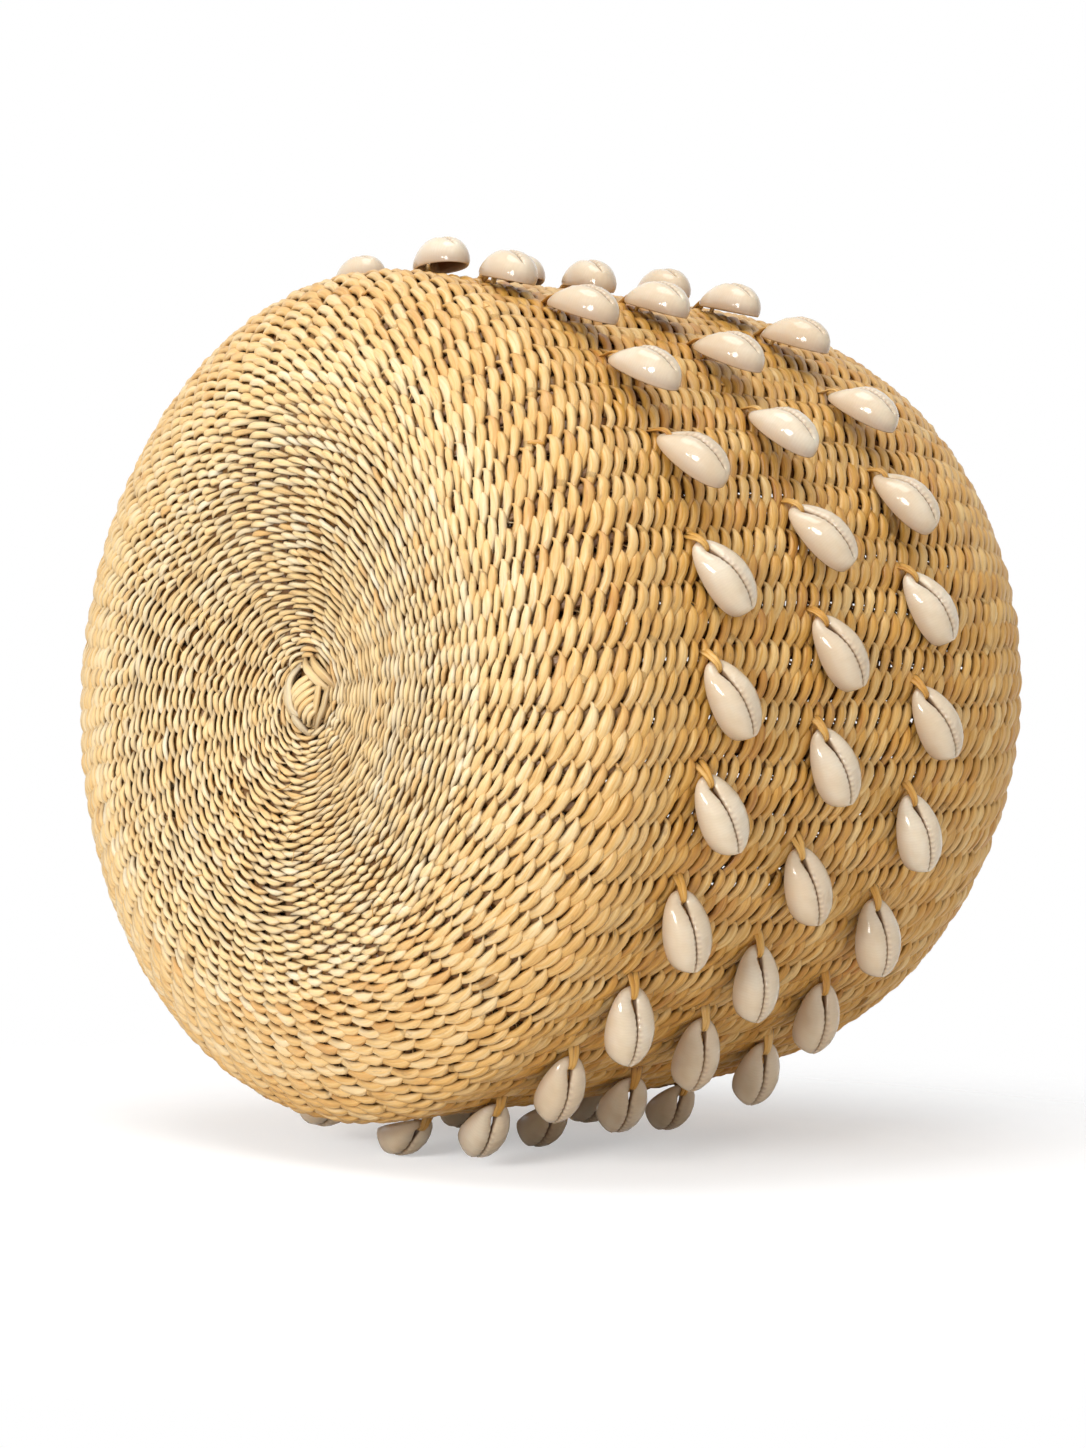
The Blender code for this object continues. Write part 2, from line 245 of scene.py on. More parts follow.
def wander(angle, reach):
    """A hand-made basket's rows and stakes wander a little, by these mm along and across the row."""
    fade_in = np.clip(reach / 60, 0, 1)
    aside = 0.8 * np.sin(2 * angle + reach / 21) + 0.5 * np.sin(5 * angle - reach / 13 + 1.0)
    ahead = 0.50 * np.sin(3 * angle + reach / 17 + 2.0) + 0.40 * np.sin(7 * angle - reach / 29)
    return aside * fade_in, ahead * fade_in


def on_skin(angle, reach, out):
    """The place and the outward direction at an angle from the uppermost side, a distance from the knot
    along the skin and a distance out of its middle."""
    aside, ahead = wander(angle, reach)
    reach = reach * (1 + 0.1 * np.cos(2 * (angle - 0.4)) * np.exp(-reach / 15)) + ahead
    radius = np.interp(reach, skin_length, middle_skin[:, 0])
    angle = angle + aside / np.maximum(radius, 12)
    height = np.interp(reach, skin_length, middle_skin[:, 1])
    out_r = np.interp(reach, skin_length, outward[:, 0])
    out_z = np.interp(reach, skin_length, outward[:, 1])
    radius = radius + out * out_r
    height = height + out * out_z
    bearing = UP_BEARING + angle
    lean = LEAN_AT_MOUTH * height / WALL_HEIGHT
    place = np.stack([
        MIDDLE[0] + radius * np.cos(bearing) + UP.x * lean,
        MIDDLE[1] + radius * np.sin(bearing) + UP.y * lean,
        MIDDLE[2] + height,
    ], axis=1)
    facing = np.stack([out_r * np.cos(bearing), out_r * np.sin(bearing), out_z], axis=1)
    return place, facing


# Blades. Every stake, twining blade and tie is a split grass blade: a flat strand with a grooved face. This
# lays one along a line of points and keeps how far across and along each spot is, and the painted shade
# that it gets where it lies down in the weave.

BLADE_SECTION = np.array([
    (-1.00, 0.00), (-0.62, 0.78), (-0.12, 0.86), (0.42, 1.00), (1.00, 0.00), (0.5, -0.75), (-0.5, -0.75),
])[::-1]
# Painted shade added on each blade's underside and along its edges.
UNDERSIDE_SHADE = 0.20
EDGE_SHADE = 0.24


class Strands:
    """Gathers blades into one mesh."""

    def __init__(self):
        self.places, self.faces, self.ends = [], [], []
        self.grain, self.tone, self.depth, self.gold = [], [], [], []
        self.count = 0

    def lay(self, places, facing, half_width, half_thickness, tone, depth, blade_number,
            section=BLADE_SECTION, roll=0.0, gold=1.0):
        rings, sides = len(places), len(section)
        forward = np.gradient(places, axis=0)
        forward /= np.linalg.norm(forward, axis=1)[:, None]
        facing = facing - forward * (facing * forward).sum(axis=1)[:, None]
        facing /= np.linalg.norm(facing, axis=1)[:, None]
        aside = np.cross(facing, forward)
        turn = np.broadcast_to(roll, rings)[:, None]
        aside, facing = aside * np.cos(turn) + facing * np.sin(turn), facing * np.cos(turn) - aside * np.sin(turn)
        width = np.broadcast_to(half_width, rings)[:, None, None]
        thickness = np.broadcast_to(half_thickness, rings)[:, None, None]
        across = section[None, :, 0:1] * width
        outward = facing[:, None, :] * section[None, :, 1:2] * thickness
        rings_at = places[:, None, :] + aside[:, None, :] * across + outward
        length = along(places)
        number = np.broadcast_to(blade_number, rings)
        self.places.append(rings_at.reshape(-1, 3))
        grain = np.stack([
            np.broadcast_to(across[:, :, 0], (rings, sides)),
            np.broadcast_to(length[:, None], (rings, sides)),
            np.broadcast_to(number[:, None], (rings, sides)),
        ], axis=2)
        self.grain.append(grain.reshape(-1, 3))
        self.tone.append(np.repeat(np.broadcast_to(tone, rings), sides))
        self.gold.append(np.repeat(np.broadcast_to(gold, rings), sides))
        # Painted shade: darker where the blade lies deep in the weave, and on its underside and edges.
        painted_darkness = np.broadcast_to(depth, rings)[:, None] + (1 - section[None, :, 1]) * UNDERSIDE_SHADE
        painted_darkness = painted_darkness + np.abs(section[None, :, 0]) ** 3 * EDGE_SHADE
        self.depth.append(painted_darkness.reshape(-1))
        ring = np.arange(rings - 1)[:, None] * sides
        side = np.arange(sides)[None, :]
        after = (side + 1) % sides
        quads = np.stack([ring + side, ring + sides + side, ring + sides + after, ring + after], axis=2)
        self.faces.append(quads.reshape(-1, 4) + self.count)
        first = np.arange(sides) + self.count
        self.ends += [first, first[::-1] + (rings - 1) * sides]
        self.count += rings * sides

    def made(self, name, material):
        places = np.concatenate(self.places) * MM
        quads = np.concatenate(self.faces)
        cap_sizes = [len(end) for end in self.ends]
        mesh = bpy.data.meshes.new(name)
        corners = np.concatenate([quads.ravel()] + self.ends)
        sizes = np.concatenate([np.full(len(quads), 4), cap_sizes])
        mesh.vertices.add(len(places))
        mesh.vertices.foreach_set("co", places.ravel())
        mesh.loops.add(len(corners))
        mesh.loops.foreach_set("vertex_index", corners)
        mesh.polygons.add(len(sizes))
        mesh.polygons.foreach_set("loop_start", np.concatenate([[0], np.cumsum(sizes)[:-1]]))
        mesh.polygons.foreach_set("loop_total", sizes)
        mesh.update(calc_edges=True)
        mesh.shade_smooth()
        for label, kind, values in (
            ("grain", "FLOAT_VECTOR", np.concatenate(self.grain)),
            ("tone", "FLOAT", np.concatenate(self.tone)),
            ("depth", "FLOAT", np.concatenate(self.depth)),
            ("gold", "FLOAT", np.concatenate(self.gold)),
        ):
            layer = mesh.attributes.new(label, kind, "POINT")
            layer.data.foreach_set("vector" if kind == "FLOAT_VECTOR" else "value", values.astype(np.float32).ravel())
        mesh.materials.append(material)
        piece = bpy.data.objects.new(name, mesh)
        scene.collection.objects.link(piece)
        return piece


# Dried grass: split, dried and dampened to weave, then dried again. Satin face with fine lengthwise
# fibres about 0.3 mm apart, each blade its own tone from tan to pale, cooler or more golden, the paler
# cooler set partly painted light, and painted shade in dark brown where it dives between others.
def dried_grass(name, cool, golden, painted_shade_colour):
    material = bpy.data.materials.new(name)
    material.use_nodes = True
    tree = material.node_tree
    tree.nodes.clear()
    grain = add(tree, "ShaderNodeAttribute", {"attribute_name": "grain"})
    tone = add(tree, "ShaderNodeAttribute", {"attribute_name": "tone"})
    depth = add(tree, "ShaderNodeAttribute", {"attribute_name": "depth"})
    # Streaks about 0.8 mm wide and 15 mm long, fibres 0.3 mm wide (coarser than real ones, which are too
    # fine to show), and stains about 2 mm wide and 6 mm long.
    noises = []
    for turns_per_mm, detail, roughness in (
        ((1.2, 0.07, 3.1), 2.0, 0.6),
        ((3.4, 0.12, 5.3), 1.0, 0.5),
        ((0.5, 0.16, 7.7), 3.0, 0.7),
    ):
        drawn_out = add(tree, "ShaderNodeVectorMath", {"operation": "MULTIPLY", 1: turns_per_mm}, {
            0: grain.outputs["Vector"]})
        noises.append(add(tree, "ShaderNodeTexNoise", {"Scale": 1.0, "Detail": detail, "Roughness": roughness}, {
            "Vector": drawn_out.outputs[0]}))
    streaks, fibres, stains = noises
    # The blade's own tone and its streaks choose between pale, straw and tan.
    mixed = add(tree, "ShaderNodeMath", {"operation": "MULTIPLY_ADD", 1: 1.0, 2: -0.5}, {0: streaks.outputs[0]})
    mixed = add(tree, "ShaderNodeMath", {"operation": "ADD"}, {0: mixed.outputs[0], 1: tone.outputs["Fac"]})
    fine = add(tree, "ShaderNodeMath", {"operation": "MULTIPLY_ADD", 1: 0.32, 2: -0.16}, {0: fibres.outputs[0]})
    mixed = add(tree, "ShaderNodeMath", {"operation": "ADD"}, {0: mixed.outputs[0], 1: fine.outputs[0]})
    # The gold share picks the golden palette over the pale one, which is paler partly as painted light.
    gold = add(tree, "ShaderNodeAttribute", {"attribute_name": "gold"})
    straws = [
        add(tree, "ShaderNodeValToRGB", {"ramp": list(zip((0.05, 0.45, 0.9), map(linear, tones)))}, {
            "Fac": mixed.outputs[0]})
        for tones in (cool, golden)
    ]
    straws = add(tree, "ShaderNodeMix", {"data_type": "RGBA"}, {
        0: gold.outputs["Fac"], 6: straws[0].outputs["Color"], 7: straws[1].outputs["Color"]})
    # Tan stains, then painted shade in brown where the blade dives.
    greyed = add(tree, "ShaderNodeMapRange", {"From Min": 0.60, "From Max": 0.74, "To Max": 0.55}, {
        "Value": stains.outputs[0]})
    coloured = add(tree, "ShaderNodeMix", {"data_type": "RGBA", 7: linear("#B08457")}, {
        0: greyed.outputs["Result"], 6: straws.outputs[2]})
    painted_shade_share = add(tree, "ShaderNodeMapRange", {"From Min": 0.16, "From Max": 0.95, "To Max": 0.95}, {
        "Value": depth.outputs["Fac"]})
    coloured = add(tree, "ShaderNodeMix", {"data_type": "RGBA", 7: linear(painted_shade_colour)}, {
        0: painted_shade_share.outputs["Result"], 6: coloured.outputs[2]})
    height = add(tree, "ShaderNodeMath", {"operation": "ADD"}, {0: streaks.outputs[0], 1: fine.outputs[0]})
    bump = add(tree, "ShaderNodeBump", {"Strength": 0.7, "Distance": 0.00035}, {"Height": height.outputs[0]})
    rough = add(tree, "ShaderNodeMapRange", {"To Min": 0.30, "To Max": 0.50}, {"Value": fibres.outputs[0]})
    surface = add(tree, "ShaderNodeBsdfPrincipled", {"IOR": 1.48, "Specular IOR Level": 0.6}, {
        "Base Color": coloured.outputs[2], "Roughness": rough.outputs["Result"], "Normal": bump.outputs[0]})
    add(tree, "ShaderNodeOutputMaterial", None, {"Surface": surface.outputs[0]})
    return material


# Base. Plain twining of the palest grass, paler partly as painted light, worked outward from the knot as one
# spiral: a pair of blades crosses between the bands of stakes, and new bands are let in as it widens, from 12
# to 96. The same spiral makes the wall, so the shapes of both kinds of leaf are given here.

BANDS = 96
FIRST_ROW = 6.4
ROW_PITCHES = ((0, 1.7), (15, 1.85), (38, 2.35), (62, 2.6), (82, 2.9), (106, 3.7), (125, 3.9), (160, 4.3))
NEW_BAND_GROWS_OVER = 12
CORNER_STARTS, CORNER_ENDS = 60, 96
# The first palette, for the base and knot, is paler partly as painted light; the last colour is painted shade.
grass = dried_grass(
    "dried_grass", ("#F2C27C", "#FFDEA0", "#FFF1D0"), ("#C07E2F", "#DEA64B", "#F8D38E"), "#53290B")
chance = random.Random(12)
band_start = np.zeros(BANDS)
for band in range(BANDS):
    if band % 8 == 0:
        band_start[band] = 0.0
    elif band % 4 == 0:
        band_start[band] = chance.uniform(11, 18)
    elif band % 2 == 0:
        band_start[band] = chance.uniform(26, 40)
    else:
        band_start[band] = chance.uniform(52, 78)


def band_growth(reach):
    grown = np.clip((reach - band_start) / NEW_BAND_GROWS_OVER, 0, 1)
    return np.where(reach >= band_start, 0.15 + 0.85 * grown * grown * (3 - 2 * grown), 0.0)


def band_angles(reach):
    """The middle of each open band. Bands run out straight, and a new one pushes its neighbours aside."""
    growth = band_growth(reach)
    open_bands = np.flatnonzero(growth)
    following = np.roll(open_bands, -1)
    gap = (following - open_bands) % BANDS
    edge = open_bands + gap * growth[open_bands] / (growth[open_bands] + growth[following])
    before = np.roll(edge, 1)
    before[0] -= BANDS
    middles = np.zeros(BANDS)
    middles[open_bands] = (edge + before) / 2
    return middles / BANDS * math.tau


def wallness(reach):
    """0 on the base, 1 on the wall, with the change at the round corner."""
    share = np.clip((reach - CORNER_STARTS) / (CORNER_ENDS - CORNER_STARTS), 0, 1)
    return share * share * (3 - 2 * share)


def row_pitch(reach):
    return np.interp(reach, [mark for mark, _ in ROW_PITCHES], [pitch for _, pitch in ROW_PITCHES])


reaches = np.arange(0, MOUTH_REACH + 1, 0.25)
pitches = row_pitch(reaches)
rows = np.concatenate([[0], np.cumsum(0.25 / pitches[:-1])])
first_row = np.interp(FIRST_ROW, reaches, rows)

# Where the pair of blades crosses from one band to the next, along the whole spiral.
cross_angle, cross_reach, cross_band = [], [], []
turns, band, angle = 0, 0, 0.0
reach = FIRST_ROW
while reach < MOUTH_REACH - 0.6:
    angle = turns * math.tau + band_angles(reach)[band]
    open_bands = band_growth(reach) > 0
    cross_band.append(band)
    band += 1
    while band < BANDS and not open_bands[band]:
        band += 1
    if band == BANDS:
        band = 0
        turns += 1
    reach = float(np.interp(angle / math.tau + first_row, rows, reaches))
    cross_angle.append(angle)
    cross_reach.append(reach)
cross_angle = np.array(cross_angle)
cross_reach = np.array(cross_reach)
CROSSINGS = len(cross_angle)

# One blade of the pair is outside at even crossings, the other at odd ones. In the base a leaf dives in
# soon after its crossing. In the wall it runs on to a long point that slips under the next leaves.
# STEPS says where a blade has its rings, counted in crossings, and OUTER_PATH how far out a leaf rises.
STEPS = np.array([-0.90, -0.75, -0.60, -0.45, -0.30, -0.15, 0.0, 0.16, 0.34, 0.52, 0.70, 0.86, 0.97])
OUTER_PATH = 1.5
# By where along it a leaf is, from crossing out (0) to crossing in (1) and out again (2): how far it lies
# out of the skin, how far away from the base, and half its width, the last two as shares of the row.
BASE_RISE = (
    (0, 0.75), (0.2, 1.2), (0.42, 1.5), (0.6, 1.42), (0.8, 1.08), (1.0, 0.72), (1.2, 0.35), (1.36, -0.1),
    (1.5, -0.8), (1.64, -0.8), (1.8, 0.0), (2, 0.75))
BASE_BOW = (
    (0, 0.25), (0.1, 0.29), (0.36, 0.20), (0.64, 0.06), (0.85, -0.10), (1.0, -0.19), (1.2, -0.25), (1.4, -0.28),
    (1.6, -0.15), (1.8, 0.10), (2, 0.25))
BASE_WIDTH = (
    (0, 0.27), (0.16, 0.36), (0.36, 0.40), (0.58, 0.38), (0.8, 0.33), (1.0, 0.28), (1.2, 0.22), (1.36, 0.16),
    (1.55, 0.20), (1.8, 0.12), (2, 0.25))
WALL_RISE = (
    (0, 1.2), (0.3, 1.55), (0.6, 1.42), (0.9, 1.15), (1.1, 0.95), (1.3, 0.65), (1.42, 0.25), (1.52, -0.35),
    (1.62, 0.0), (1.75, 0.55), (1.9, 0.95), (2, 1.2))
WALL_BOW = (
    (0, 0.46), (0.25, 0.38), (0.7, 0.08), (1.1, -0.36), (1.35, -0.60), (1.5, -0.50), (1.62, 0.0),
    (1.75, 0.18), (1.9, 0.40), (2, 0.46))
WALL_WIDTH = (
    (0, 0.29), (0.16, 0.37), (0.34, 0.42), (0.6, 0.42), (0.9, 0.38), (1.15, 0.32), (1.38, 0.23), (1.52, 0.06),
    (1.65, 0.05), (1.75, 0.08), (1.88, 0.18), (2, 0.29))
# No two leaves are alike: spreads in mm, in mm, as a share, in radians, and of the two colours' shares.
RISE_SPREAD = 0.12
SIDE_SPREAD = 0.17
WIDTH_SPREAD = 0.12
ROLL_SPREAD = 0.15
TONE_SPREAD = 0.06
GOLD_SPREAD = 0.07
# The wall's leaves lie a little lower, to leave room for the shells, and turn golden from the corner on,
# out of the pale base colour, which is partly painted light.
WALL_SUNK = 0.25
GOLD_STARTS, GOLD_RUNS = 72, 70
SECOND_BLADE_SHIFT = 0.16


def twined(strand, steps, inner=False):
    numbers = np.random.default_rng(21 + strand)
    starts = np.arange(strand, CROSSINGS - 2, 2)
    step = (starts[:, None] + steps[None, :]).ravel()
    step = step[(step >= 0) & (step <= CROSSINGS - 1)]
    leaf = np.arange(CROSSINGS)

    def scattered(spread):
        return spread * np.interp(step, leaf, numbers.normal(0, 1, CROSSINGS).clip(-2.2, 2.2))

    shift = SECOND_BLADE_SHIFT * strand * wallness(np.interp(step, leaf, cross_reach))
    angle = np.interp(step - shift, leaf, cross_angle)
    reach = np.interp(angle / math.tau + first_row, rows, reaches)
    g = wallness(reach)
    pitch = row_pitch(reach)
    # A leaf is a pointed lens, broadest a little before its middle, whose ends dive between its neighbours.
    share = (step - strand + 0.5) % 2
    outside = share < 1

    def shaped(in_base, in_wall):
        return np.interp(share, *zip(*in_base)) * (1 - g) + np.interp(share, *zip(*in_wall)) * g

    rise = shaped(BASE_RISE, WALL_RISE)
    height = rise * (0.78 + 0.22 * g) + scattered(RISE_SPREAD)
    # It bows away from the base as it comes out, and leans over the row nearer the base as it goes in.
    sideways = pitch * shaped(BASE_BOW, WALL_BOW) + scattered(SIDE_SPREAD)
    half_width = pitch * shaped(BASE_WIDTH, WALL_WIDTH) * (1 + scattered(WIDTH_SPREAD))
    half_thickness = 0.42 - 0.07 * g + (0.20 + 0.55 * g) * np.clip(rise / OUTER_PATH, 0, 1)
    # Painted shade: the lower a leaf lies in the weave, the darker brown it is painted.
    depth = np.clip(0.55 - 0.55 * height / OUTER_PATH, 0, 0.75)
    if inner:
        height = -0.9 - 0.5 * rise
        half_width = (0.95 - 0.62 * g) * half_width
    else:
        height -= WALL_SUNK * g
    radius = np.interp(reach, skin_length, middle_skin[:, 0])
    places, facing = on_skin(angle + scattered(0.75 - 0.25 * g) / np.maximum(radius, 15), reach + sideways, height)
    # A blade lasts about 20 leaves, then the next one is laid in.
    blade_at, tones, numbers_at = 0, np.zeros(CROSSINGS), np.zeros(CROSSINGS)
    while blade_at < CROSSINGS:
        length = int(numbers.uniform(12, 30))
        odd = numbers.uniform()
        darker = 0.28 if odd < 0.04 else 0
        paler = 0.14 if odd > 0.95 else 0
        tones[blade_at:blade_at + length] = 0.5 + numbers.normal(0, 0.09) - darker + paler
        numbers_at[blade_at:blade_at + length] = numbers.integers(1, 4000)
        blade_at += length
    nearest = np.clip(np.round(step).astype(int), 0, CROSSINGS - 1)
    tone = tones[nearest] + scattered(TONE_SPREAD)
    roll = scattered(ROLL_SPREAD) + 0.25 * np.cos(math.pi * share) * outside
    # Share of the golden palette: below it the pale base palette, partly painted light.
    gold = np.clip((reach - GOLD_STARTS) / GOLD_RUNS, 0, 1) + scattered(GOLD_SPREAD)
    if inner:
        facing = -facing
    return step, places, facing, half_width, half_thickness, tone, depth, numbers_at[nearest], roll, gold


pair = [twined(0, STEPS), twined(1, STEPS)]


def weft_between(pair, first, last, section=BLADE_SECTION):
    """Both blades from one crossing to another."""
    strands = Strands()
    for step, *blade in pair:
        part = (step >= first - 0.6) & (step <= last + 0.6)
        *shape, roll, gold = [values[part] for values in blade]
        strands.lay(*shape, section, roll, gold)
    return strands


BASE_LENGTHS = 3
BASE_ENDS = 107
base_crossings = int(np.searchsorted(cross_reach, BASE_ENDS))
cuts = np.linspace(0, base_crossings, BASE_LENGTHS + 1).astype(int)
for number in range(BASE_LENGTHS):
    length = weft_between(pair, cuts[number], cuts[number + 1]).made(f"base_weft_{number + 1}", grass)
    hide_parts("woven_base")
    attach(length, "basket")


# Starting knot. The stakes' middles are folded across one another and bound by the first blade, which makes
# the small oval bundle in the middle of the base, from the same pale grass, paler partly as painted
# light.

KNOT_TOP = 11.6
KNOT_WIDER = 1.25
KNOT_TALLER = 1.1
KNOT_RAISED = 0.8
WIDE = np.array((0.70711, 0.70711, 0.0))
TALL = np.array((0.70711, -0.70711, 0.0))


def rounded(points, steps=7):
    """A smooth line through points."""
    points = np.array(points, float)
    run = np.concatenate([[2 * points[0] - points[1]], points, [2 * points[-1] - points[-2]]])
    made = []
    for i in range(1, len(run) - 2):
        for t in np.linspace(0, 1, steps, endpoint=False):
            a, b, c, d = run[i - 1:i + 3]
            bend, twist = 2 * a - 5 * b + 4 * c - d, 3 * b - a - 3 * c + d
            made.append(0.5 * (2 * b + (c - a) * t + bend * t ** 2 + twist * t ** 3))
    return np.array(made + [run[-2]])


# Each strand: half width, then points of (right, up, out) as the base is looked at.
KNOT_STRANDS = (
    (1.15, ((-4.6, 6.5, -2.4), (-5.6, 3.2, -0.9), (-5.9, 0.0, -0.5), (-5.2, -3.4, -0.8), (-3.4, -6.6, -2.2))),
    (1.10, ((-2.4, 7.4, -2.2), (-4.0, 3.8, -0.1), (-4.2, 0.2, 0.2), (-3.5, -3.4, 0.0), (-1.4, -6.2, -1.6))),
    (0.95, ((3.4, 5.2, -1.2), (1.6, 3.6, 0.6), (-0.6, 2.2, 0.9), (-2.4, 0.6, 0.6), (-3.8, -0.8, -0.9))),
    (0.95, ((4.0, 3.6, -1.0), (2.2, 1.9, 0.9), (0.0, 0.5, 1.1), (-1.8, -0.9, 0.8), (-3.4, -2.4, -0.9))),
    (0.95, ((4.4, 1.8, -1.0), (2.6, 0.2, 0.8), (0.6, -1.1, 1.0), (-1.2, -2.5, 0.7), (-2.8, -4.0, -1.0))),
    (0.90, ((4.6, 0.0, -1.0), (2.8, -1.6, 0.6), (1.0, -2.9, 0.7), (-0.5, -4.3, 0.2), (-1.8, -5.8, -1.4))),
    (0.90, ((4.8, -1.8, -1.0), (3.2, -3.2, 0.5), (1.9, -4.5, 0.5), (0.8, -5.6, 0.0), (-0.4, -7.0, -1.4))),
    (0.85, ((4.9, -3.4, -1.2), (3.7, -4.7, 0.2), (2.6, -6.0, 0.1), (1.4, -7.4, -1.2))),
    (1.30, ((-1.8, 9.0, -2.6), (0.6, 6.8, -0.2), (3.0, 4.9, 0.5), (5.4, 2.8, 0.0), (7.8, 0.4, -2.2))),
    (1.25, ((0.4, 9.6, -2.6), (3.0, 7.6, -0.4), (5.4, 5.6, 0.1), (7.8, 3.2, -1.0), (9.4, 0.8, -2.6))),
    (1.15, ((5.6, 4.4, -1.6), (5.3, 1.6, -0.2), (5.0, -1.2, 0.0), (4.0, -4.2, -0.4), (2.0, -7.6, -2.2))),
    (1.10, ((7.4, 2.6, -2.0), (7.2, -0.4, -0.8), (6.4, -3.2, -0.8), (4.8, -6.0, -1.0), (2.6, -9.0, -2.4))),
    (1.05, ((-4.8, -4.0, -1.6), (-3.0, -6.0, -0.6), (-0.8, -8.0, -0.8), (1.2, -10.2, -2.2))),
)
knot = Strands()
for number, (half_width, points) in enumerate(KNOT_STRANDS):
    points = rounded(points)
    places = MIDDLE + KNOT_WIDER * points[:, 0:1] * WIDE + (KNOT_TALLER * points[:, 1:2] + KNOT_RAISED) * TALL
    places[:, 2] = KNOT_TOP - points[:, 2] - 0.9
    facing = np.tile((0.0, 0.0, -1.0), (len(places), 1))
    share = np.linspace(0, 1, len(places))
    width = 1.2 * half_width * (0.7 + 0.3 * np.sin(math.pi * share))
    # Painted shade: darker where a strand goes down under the others.
    painted_darkness = np.clip(0.25 - points[:, 2] * 0.18, 0, 0.8)
    knot.lay(places, facing, width, 0.55, 0.45 + chance.gauss(0, 0.12), painted_darkness, 50 + number, gold=0.0)
starting_knot = knot.made("knot_strands", grass)
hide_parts("starting_knot")
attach(starting_knot, "basket")


# Stakes. The warp: flat stems of the same grass, a brown that is partly their own colour and partly painted
# shade for the gaps where they show, darkened further with painted shade inside the weave, that fan out from
# the knot and stand up through the wall, one to a band. Every second one is split in two, and daylight shows
# through the narrow gaps beside it.

# A dark brown palette, partly painted shade, with painted shade in deeper brown over it.
STEM_TONES = ("#7F5222", "#A8763A", "#C79A5A")
brown_stems = dried_grass("dried_grass_stems", STEM_TONES, STEM_TONES, "#4E2C0E")
ROUND_SECTION = np.array([(math.cos(a), math.sin(a)) for a in np.linspace(0, math.tau, 7)[:-1]])[::-1]
stakes = Strands()
first_split = (CROSSINGS - 2 - cross_band[CROSSINGS - 2]) % 2
for band in range(BANDS):
    marks = np.arange(max(band_start[band], 3.0), MOUTH_REACH + 1.5, 3.0)
    angles = np.array([band_angles(mark)[band] for mark in marks])
    radius = np.interp(marks, skin_length, middle_skin[:, 0])
    room = math.tau * radius / np.array([np.count_nonzero(band_growth(mark)) for mark in marks])
    in_wall = wallness(marks)
    for part in (-1, 1) if band % 2 == first_split else (0,):
        shifted = angles + part * (0.15 + 0.215 * in_wall) * room / np.maximum(radius, 3)
        places, facing = on_skin(shifted, marks, np.full(len(marks), -0.15))
        half_width = np.minimum(room, 8) * (0.45 - 0.17 * in_wall)
        # Every stake gets painted shade of 0.5 along its whole length.
        stakes.lay(places, facing, half_width, 0.45, 0.45 + chance.gauss(0, 0.15), 0.5, band, ROUND_SECTION)
stakes = stakes.made("stakes", brown_stems)
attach(stakes, "basket")


# Wall. The same spiral runs on up the wall in broader golden grass, each leaf reaching over two bands of
# stakes. It is cut into lengths only to keep each mesh a handy size.

WALL_LENGTHS = 7
cuts = np.linspace(base_crossings, CROSSINGS - 1, WALL_LENGTHS + 1).astype(int)
for number in range(WALL_LENGTHS):
    length = weft_between(pair, cuts[number], cuts[number + 1]).made(f"wall_weft_{number + 1}", grass)
    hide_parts("woven_wall")
    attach(length, "basket")


# Inner face. On the inside the same two blades show where they pass behind the stakes: golden leaves again,
# drawn with fewer bends and a simpler section, as they are seen only through the mouth and the pinholes.

INNER_STEPS = np.array([-0.88, -0.52, -0.15, 0.2, 0.52, 0.86])
INNER_SECTION = np.array([(-1.0, 0.0), (-0.4, 0.9), (0.4, 0.9), (1.0, 0.0), (0.0, -0.7)])[::-1]
inner_pair = [twined(0, INNER_STEPS, inner=True), twined(1, INNER_STEPS, inner=True)]
INNER_LENGTHS = 4
cuts = np.linspace(0, CROSSINGS - 1, INNER_LENGTHS + 1).astype(int)
for number in range(INNER_LENGTHS):
    strands = weft_between(inner_pair, cuts[number], cuts[number + 1], INNER_SECTION)
    length = strands.made(f"inner_weft_{number + 1}", grass)
    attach(length, "basket")


# Mouth border. The stakes' ends are turned down and each is laid slanting over its neighbours, which
# makes the thick round edge, over a core of cut ends.

BORDER_HEIGHT = 207.0
BORDER_CENTRE = 74.45
BORDER_STRANDS = 105


def on_border(angle, around, radius):
    bearing = UP_BEARING + angle
    flat = BORDER_CENTRE + radius * np.cos(around)
    height = BORDER_HEIGHT + radius * np.sin(around)
    lean = LEAN_AT_MOUTH * BORDER_HEIGHT / WALL_HEIGHT
    place = np.stack([
        MIDDLE[0] + flat * np.cos(bearing) + UP.x * lean,
        MIDDLE[1] + flat * np.sin(bearing) + UP.y * lean,
        MIDDLE[2] + height,
    ], axis=1)
    facing = np.stack([np.cos(around) * np.cos(bearing), np.cos(around) * np.sin(bearing), np.sin(around)], axis=1)
    return place, facing


border = Strands()
for number in range(BORDER_STRANDS):
    share = np.linspace(0, 1, 15)
    around = math.radians(-75) + share * math.radians(330) + chance.gauss(0, 0.05)
    angle = (number + 3.4 * share + chance.gauss(0, 0.08)) * math.tau / BORDER_STRANDS
    swell = 2.35 + 0.35 * np.sin(math.pi * share) + chance.gauss(0, 0.06)
    places, facing = on_border(angle, around, swell)
    # Painted shade: darker at both ends, where the strand tucks under its neighbours.
    painted_darkness = 0.55 - 0.55 * np.sin(math.pi * share) ** 0.5
    width = 1.75 * (1 + chance.gauss(0, 0.07))
    border.lay(places, facing, width, 0.62, 0.5 + chance.gauss(0, 0.13), painted_darkness, 200 + number)
core_angle = np.linspace(0, math.tau * 0.999, 140)
places, facing = on_border(core_angle, np.full(140, math.pi / 2), 0.0)
# Painted shade of 0.9 over the core, which lies inside the border.
border.lay(places, facing, 1.9, 1.9, 0.3, 0.9, 199, ROUND_SECTION)
mouth_edge = border.made("mouth_edge", grass)
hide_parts("mouth_border")
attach(mouth_edge, "basket")


